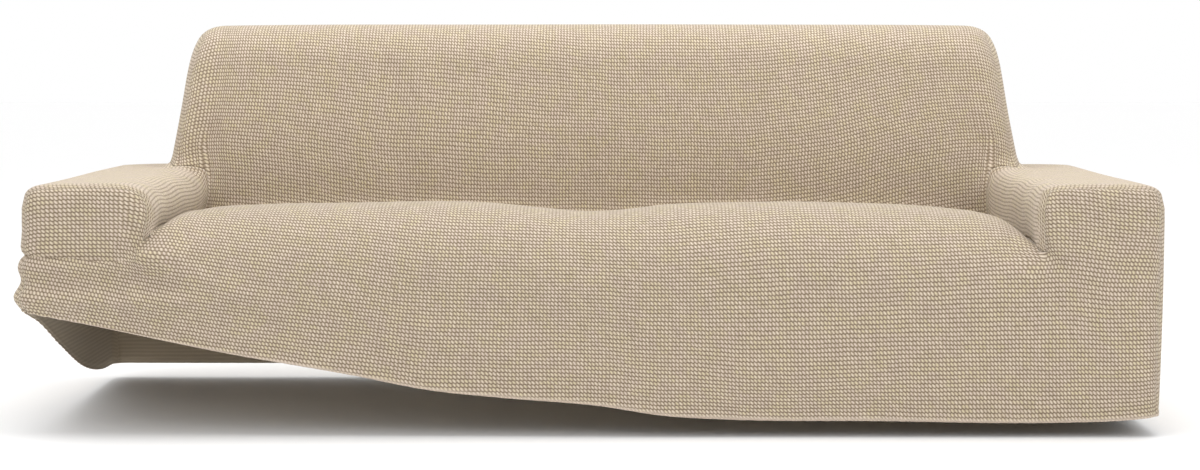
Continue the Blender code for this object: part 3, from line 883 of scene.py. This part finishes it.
def knit_material(name, wide, high, turn=PIP_TURN, shade=1.0, top_light_share=0.0):
    """Knit of pips so wide and high apart; where a top faces up its gaps are painted
    over with cream, a painted highlight.
    """
    material = bpy.data.materials.new(name)
    material.use_nodes = True
    tree = material.node_tree
    nodes, links = tree.nodes, tree.links
    surface = nodes["Principled BSDF"]

    def maths(operation, a, b=None, c=None):
        node = nodes.new("ShaderNodeMath")
        node.operation = operation
        for socket, value in zip(node.inputs, (a, b, c)):
            if value is None:
                continue
            if isinstance(value, (int, float)):
                socket.default_value = value
            else:
                links.new(value, socket)
        return node.outputs[0]

    def ramp(value, low, high, to_low=0.0, to_high=1.0):
        node = nodes.new("ShaderNodeMapRange")
        node.interpolation_type = "SMOOTHSTEP"
        links.new(value, node.inputs["Value"])
        node.inputs["From Min"].default_value = low
        node.inputs["From Max"].default_value = high
        node.inputs["To Min"].default_value = to_low
        node.inputs["To Max"].default_value = to_high
        return node.outputs["Result"]

    def noise(vector, scale, detail=2.0):
        node = nodes.new("ShaderNodeTexNoise")
        links.new(vector, node.inputs["Vector"])
        node.inputs["Scale"].default_value = scale
        node.inputs["Detail"].default_value = detail
        return node

    def mix(share, a, b):
        node = nodes.new("ShaderNodeMix")
        node.data_type = "RGBA"
        links.new(share, node.inputs["Factor"])
        for socket, value in ((node.inputs["A"], a), (node.inputs["B"], b)):
            if isinstance(value, tuple):
                socket.default_value = value
            else:
                links.new(value, socket)
        return node.outputs["Result"]

    # Rows waver a little, as a stretched knit's do.
    place = nodes.new("ShaderNodeUVMap")
    place.uv_map = "knit"
    waver = noise(place.outputs["UV"], WAVER_SCALE, 3.0)
    offset = nodes.new("ShaderNodeVectorMath")
    offset.operation = "MULTIPLY_ADD"
    links.new(waver.outputs["Color"], offset.inputs[0])
    offset.inputs[1].default_value = WAVER_REACH
    links.new(place.outputs["UV"], offset.inputs[2])
    split = nodes.new("ShaderNodeSeparateXYZ")
    links.new(offset.outputs["Vector"], split.inputs[0])
    column = maths("DIVIDE", split.outputs["X"], wide)
    row = maths("DIVIDE", split.outputs["Y"], high)

    # Each pip is a slanting lozenge near the middle of its cell, and no two
    # are quite the same in size, place and lightness.
    cell = nodes.new("ShaderNodeCombineXYZ")
    links.new(maths("FLOOR", column), cell.inputs[0])
    links.new(maths("FLOOR", row), cell.inputs[1])
    chance = nodes.new("ShaderNodeTexWhiteNoise")
    links.new(cell.outputs[0], chance.inputs["Vector"])
    chances = nodes.new("ShaderNodeSeparateXYZ")
    links.new(chance.outputs["Color"], chances.inputs[0])
    shift_x = -0.5 - PIP_DRIFT_X / 2
    shift_y = -0.5 - PIP_DRIFT_Y / 2
    drift_x = maths("MULTIPLY_ADD", chances.outputs["X"], PIP_DRIFT_X, shift_x)
    drift_y = maths("MULTIPLY_ADD", chances.outputs["Y"], PIP_DRIFT_Y, shift_y)
    x = maths("MULTIPLY", maths("ADD", maths("FRACT", column), drift_x), wide)
    y = maths("MULTIPLY", maths("ADD", maths("FRACT", row), drift_y), high)
    turn_cos, turn_sin = math.cos(turn), math.sin(turn)
    along = maths("ADD", maths("MULTIPLY", x, turn_cos), maths("MULTIPLY", y, turn_sin))
    across = maths(
        "SUBTRACT", maths("MULTIPLY", y, turn_cos), maths("MULTIPLY", x, turn_sin)
    )
    far_along = maths("ABSOLUTE", maths("DIVIDE", along, PIP_LONG * high))
    far_across = maths("ABSOLUTE", maths("DIVIDE", across, PIP_SHORT * wide))
    far = maths("ADD", maths("POWER", far_along, 2.0), maths("POWER", far_across, 2.0))
    size = maths("MULTIPLY_ADD", chance.outputs["Value"], 0.30, 0.85)
    far = maths("DIVIDE", far, size)
    fray = noise(place.outputs["UV"], FRAY_SCALE)
    far = maths("ADD", far, maths("MULTIPLY_ADD", fray.outputs["Fac"], 1.0, -0.50))
    pip = ramp(far, 1.50, 0.00)
    edge = ramp(far, 1.90, 0.70)
    crown = ramp(far, 1.15, -0.10)
    gap = ramp(maths("ABSOLUTE", y), ROW_EDGE * high, 0.5 * high)

    # Fine yarn: ribs along each pip and loose fibres everywhere.
    twist = maths("SINE", maths("MULTIPLY", across, 2 * math.pi / YARN_RIB))
    twist = maths("MULTIPLY", twist, pip)
    fibre = noise(place.outputs["UV"], FIBRE_SCALE, 3.0)
    shade_noise = noise(place.outputs["UV"], SHADE_SCALE)
    hue_noise = noise(place.outputs["UV"], HUE_SCALE)

    hue = ramp(hue_noise.outputs["Fac"], 0.42, 0.58)
    cream = mix(hue, PIP_YELLOW, PIP_PINK)
    cream = mix(ramp(chances.outputs["Z"], 0.0, 1.2), cream, PIP_LIGHT)
    ground = mix(gap, GROUND_LIGHT, GROUND_DARK)
    # Where a top faces up the gaps between the pips are filled with cream: a painted
    # highlight that makes the top lighter and plainer, as light from above does.
    facing = nodes.new("ShaderNodeNewGeometry")
    upward = nodes.new("ShaderNodeSeparateXYZ")
    links.new(facing.outputs["True Normal"], upward.inputs[0])
    painted_top_light = ramp(upward.outputs["Z"], 0.70, 0.97, 0.0, top_light_share)
    # The cream is the yarn's colour; each pip's lighter crown and darker rim are a
    # painted highlight and painted shade on its rounded top.
    colour = mix(crown, mix(edge, ground, PIP_EDGE), cream)
    colour = mix(painted_top_light, colour, cream)
    fold_over = nodes.new("ShaderNodeAttribute")
    fold_over.attribute_name = "hem_edge"
    folded = maths("MULTIPLY", fold_over.outputs["Fac"], 0.65)
    colour = mix(folded, colour, HEM_CREAM)
    fleck = maths("MULTIPLY_ADD", fibre.outputs["Fac"], 0.50, 0.75)
    tone = maths("MULTIPLY_ADD", shade_noise.outputs["Fac"], 0.16, 0.92)
    # The panel's factor scales the tone: its shared level is the knit's colour, its
    # difference from panel to panel is painted light.
    tone = maths("MULTIPLY", maths("MULTIPLY", fleck, tone), shade)
    toned = nodes.new("ShaderNodeVectorMath")
    toned.operation = "SCALE"
    links.new(colour, toned.inputs[0])
    links.new(tone, toned.inputs["Scale"])
    links.new(toned.outputs["Vector"], surface.inputs["Base Color"])

    height = maths("MULTIPLY_ADD", twist, 0.06, pip)
    height = maths("MULTIPLY_ADD", fibre.outputs["Fac"], 0.12, height)
    bump = nodes.new("ShaderNodeBump")
    bump.inputs["Strength"].default_value = 0.9
    bump.inputs["Distance"].default_value = 0.0011
    links.new(height, bump.inputs["Height"])
    links.new(bump.outputs["Normal"], surface.inputs["Normal"])
    rough = maths("MULTIPLY_ADD", pip, -0.08, 0.94)
    links.new(rough, surface.inputs["Roughness"])
    surface.inputs["Sheen Weight"].default_value = 0.30
    surface.inputs["Sheen Roughness"].default_value = 0.45
    surface.inputs["Sheen Tint"].default_value = (1.0, 0.95, 0.86, 1.0)
    surface.inputs["Specular IOR Level"].default_value = 0.25
    return material


# The reverse of the knit is flatter: the ground yarn lies over the pips.
# Both colours are set pale: partly the reverse's own paler yarn, partly painted light
# that brightens the shade inside the hollow cover.
REVERSE_LIGHT = (0.700, 0.600, 0.465, 1.0)
REVERSE_DARK = (0.500, 0.415, 0.305, 1.0)
REVERSE_FIBRE_SCALE = 900.0
BANDS_TO_ROWS = 0.314


def reverse_material(name):
    """Ribs of ground yarn, one to each row of pips on the face."""
    material = bpy.data.materials.new(name)
    material.use_nodes = True
    nodes, links = material.node_tree.nodes, material.node_tree.links
    surface = nodes["Principled BSDF"]
    place = nodes.new("ShaderNodeUVMap")
    place.uv_map = "knit"
    ribs = nodes.new("ShaderNodeTexWave")
    ribs.wave_type = "BANDS"
    ribs.bands_direction = "Y"
    links.new(place.outputs["UV"], ribs.inputs["Vector"])
    ribs.inputs["Scale"].default_value = BANDS_TO_ROWS / PIP_HIGH
    ribs.inputs["Distortion"].default_value = 0.6
    ribs.inputs["Detail"].default_value = 2.0
    fibre = nodes.new("ShaderNodeTexNoise")
    links.new(place.outputs["UV"], fibre.inputs["Vector"])
    fibre.inputs["Scale"].default_value = REVERSE_FIBRE_SCALE
    fibre.inputs["Detail"].default_value = 3.0
    blend = nodes.new("ShaderNodeMath")
    blend.operation = "MULTIPLY"
    links.new(ribs.outputs["Fac"], blend.inputs[0])
    links.new(fibre.outputs["Fac"], blend.inputs[1])
    colour = nodes.new("ShaderNodeMix")
    colour.data_type = "RGBA"
    links.new(blend.outputs[0], colour.inputs["Factor"])
    colour.inputs["A"].default_value = REVERSE_DARK
    colour.inputs["B"].default_value = REVERSE_LIGHT
    links.new(colour.outputs["Result"], surface.inputs["Base Color"])
    bump = nodes.new("ShaderNodeBump")
    bump.inputs["Strength"].default_value = 0.7
    bump.inputs["Distance"].default_value = 0.0006
    links.new(blend.outputs[0], bump.inputs["Height"])
    links.new(bump.outputs["Normal"], surface.inputs["Normal"])
    surface.inputs["Roughness"].default_value = 0.95
    surface.inputs["Sheen Weight"].default_value = 0.2
    surface.inputs["Specular IOR Level"].default_value = 0.2
    return material


knit_reverse = reverse_material("knit_reverse")
CLOTH = 0.0020


def make_panel(name, node, material):
    """One cut panel as a thin sheet, replacing its node of the frame."""
    faces = cover_faces[all_panels == node]
    runs = all_runs[all_panels == node]
    used, local = np.unique(faces, return_inverse=True)
    local = local.reshape(faces.shape)
    mesh = bpy.data.meshes.new(name)
    mesh.from_pydata((worn[used] - ORIGIN).tolist(), [], local.tolist())
    layer = mesh.uv_layers.new(name="knit")
    places = np.empty((faces.size, 2))
    corner_runs = np.repeat(runs, 4)
    corner_points = faces.ravel()
    for run in sorted(set(runs.tolist())):
        here = corner_runs == run
        places[here, 0] = knit_u[run][corner_points[here]]
        places[here, 1] = knit_v[run][corner_points[here]]
    layer.data.foreach_set("uv", places.ravel())
    edge_share = mesh.attributes.new("hem_edge", "FLOAT", "POINT")
    edge_share.data.foreach_set("value", hem_edge[used])
    mesh.materials.append(material)
    mesh.materials.append(knit_reverse)
    mesh.shade_smooth()
    panel = bpy.data.objects.new(name, mesh)
    bpy.context.scene.collection.objects.link(panel)
    thick = panel.modifiers.new("cloth", "SOLIDIFY")
    thick.thickness = CLOTH
    thick.offset = -1.0
    thick.material_offset = 1
    thick.material_offset_rim = 0
    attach(panel, "root")
    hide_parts(node)


# Tone factors: the common level is the knit's colour; that the arms and the back are set
# lighter than the front is painted light.
FRONT_TONE_AND_LIGHT = 0.73
front_knit = knit_material("front_knit", PIP_WIDE, PIP_HIGH, shade=FRONT_TONE_AND_LIGHT)
make_panel("seat_front_cloth", "seat_front", front_knit)

# ---------------------------------------------------------------------------
# Arm panel on the picture's left: the knit runs from the lifted side hem up
# the outer side, over the arm's top and down its inner side to the seat.
# Its rows lie along the arm, so they meet the front's rows at the seam.
ARM_PIP_WIDE = 0.0076
ARM_PIP_HIGH = 0.0080
# The arms' tone is set lighter than the front's: painted light.
ARM_TONE_AND_LIGHT = 0.77
# Share of cream painted over the arms' upward-facing tops: a painted highlight.
ARM_TOP_PAINTED_LIGHT = 0.22
arm_knit = knit_material(
    "arm_knit", ARM_PIP_WIDE, ARM_PIP_HIGH, shade=ARM_TONE_AND_LIGHT, top_light_share=ARM_TOP_PAINTED_LIGHT
)
make_panel("arm_left_cloth", "arm_left", arm_knit)

# ---------------------------------------------------------------------------
# Arm panel on the picture's right: the same knit and the same cut, mirrored,
# with its hem pulled down level all along.
make_panel("arm_right_cloth", "arm_right", arm_knit)

# ---------------------------------------------------------------------------
# Inside-back panel: one length of knit from the crease behind the seat up
# the inside of the back, over its top and round its two short sides, drawn
# so tight that its rows sag in the middle.
BACK_PIP_WIDE = 0.0066
BACK_PIP_HIGH = 0.0081
BACK_PIP_TURN = math.radians(-66.0)
# The back's tone is set lighter than the front's: painted light.
BACK_TONE_AND_LIGHT = 0.78
back_knit = knit_material(
    "back_knit", BACK_PIP_WIDE, BACK_PIP_HIGH, turn=BACK_PIP_TURN, shade=BACK_TONE_AND_LIGHT
)
make_panel("back_inside_cloth", "back_inside", back_knit)

# ---------------------------------------------------------------------------
# Outside-back panel: a plain length of the front's knit across the rear, from
# the seam along the back's top down to the rear hem, sewn to the arm panels.
make_panel("back_outside_cloth", "back_outside", front_knit)

# ---------------------------------------------------------------------------
# Floor: one wide pale matt sheet, painted a little greyer near the cover and whiter
# further off: painted shade and painted light that run it out to the white of the room.
FLOOR_LEVEL = -float(ORIGIN[2])
FLOOR_HALF = 30.0
FLOOR_PALE = 0.90
FLOOR_WHITE = 0.995
FLOOR_FADE = (2.0, 7.0)
floor_mesh = bpy.data.meshes.new("floor")
floor_points = [
    (x, y, FLOOR_LEVEL)
    for x, y in (
        (-FLOOR_HALF, -FLOOR_HALF),
        (FLOOR_HALF, -FLOOR_HALF),
        (FLOOR_HALF, FLOOR_HALF),
        (-FLOOR_HALF, FLOOR_HALF),
    )
]
floor_mesh.from_pydata(floor_points, [], [(0, 1, 2, 3)])
floor = bpy.data.objects.new("floor", floor_mesh)
bpy.context.scene.collection.objects.link(floor)
floor_paint = bpy.data.materials.new("floor_paint")
floor_paint.use_nodes = True
floor_surface = floor_paint.node_tree.nodes["Principled BSDF"]
floor_place = floor_paint.node_tree.nodes.new("ShaderNodeTexCoord")
floor_way = floor_paint.node_tree.nodes.new("ShaderNodeVectorMath")
floor_way.operation = "LENGTH"
floor_fade = floor_paint.node_tree.nodes.new("ShaderNodeMapRange")
floor_fade.inputs["From Min"].default_value = FLOOR_FADE[0]
floor_fade.inputs["From Max"].default_value = FLOOR_FADE[1]
floor_fade.inputs["To Min"].default_value = FLOOR_PALE
floor_fade.inputs["To Max"].default_value = FLOOR_WHITE
floor_links = floor_paint.node_tree.links
floor_links.new(floor_place.outputs["Object"], floor_way.inputs[0])
floor_links.new(floor_way.outputs["Value"], floor_fade.inputs["Value"])
floor_links.new(floor_fade.outputs["Result"], floor_surface.inputs["Base Color"])
floor_surface.inputs["Roughness"].default_value = 0.60
floor_mesh.materials.append(floor_paint)

# ---------------------------------------------------------------------------
# Light: a wide soft box overhead and two weaker ones in front, to the left
# and the right, in a bright white room.
OVERHEAD_POWER = 88.0
FRONT_LEFT_POWER = 14.0
FRONT_RIGHT_POWER = 32.0


def soft_box(name, place, aim, width, height, power):
    """A rectangular lamp at a place, turned to face its aim."""
    lamp = bpy.data.lights.new(name, "AREA")
    lamp.shape = "RECTANGLE"
    lamp.size = width
    lamp.size_y = height
    lamp.energy = power
    box = bpy.data.objects.new(name, lamp)
    bpy.context.scene.collection.objects.link(box)
    facing = (Vector(aim) - Vector(place)).to_track_quat("-Z", "Y")
    box.matrix_world = Matrix.Translation(Vector(place)) @ facing.to_matrix().to_4x4()


soft_box("overhead", (0.0, -0.6, 2.6), (0.0, 0.0, -0.3), 4.5, 2.4, OVERHEAD_POWER)
soft_box("front_left", (-2.8, -4.2, 1.5), (0.0, 0.0, -0.4), 2.4, 2.0, FRONT_LEFT_POWER)
soft_box("front_right", (3.2, -4.0, 1.6), (0.2, 0.0, -0.4), 2.4, 2.0, FRONT_RIGHT_POWER)
room = bpy.data.worlds.new("room")
bpy.context.scene.world = room
room.use_nodes = True
room_light = room.node_tree.nodes["Background"]
room_light.inputs["Color"].default_value = (1.0, 1.0, 1.0, 1.0)
room_light.inputs["Strength"].default_value = 1.0

# ---------------------------------------------------------------------------
# Camera: a little below the level of the back's top, 4.8 m in front of the
# cover and tilted a little down, as in the picture.
CAMERA_PLACE = Vector((0.0313, -5.2131, 0.7437)) - Vector(ORIGIN)
CAMERA_TILT = math.radians(4.239)
CAMERA_TURN = math.radians(0.207)
LENS = 75.08
SENSOR = 36.0
camera_data = bpy.data.cameras.new("camera")
camera_data.lens = LENS
camera_data.sensor_width = SENSOR
camera = bpy.data.objects.new("camera", camera_data)
bpy.context.scene.collection.objects.link(camera)
camera.location = CAMERA_PLACE
camera.rotation_euler = (math.pi / 2 - CAMERA_TILT, 0.0, CAMERA_TURN)
bpy.context.scene.camera = camera
bpy.context.scene.view_settings.view_transform = "Standard"
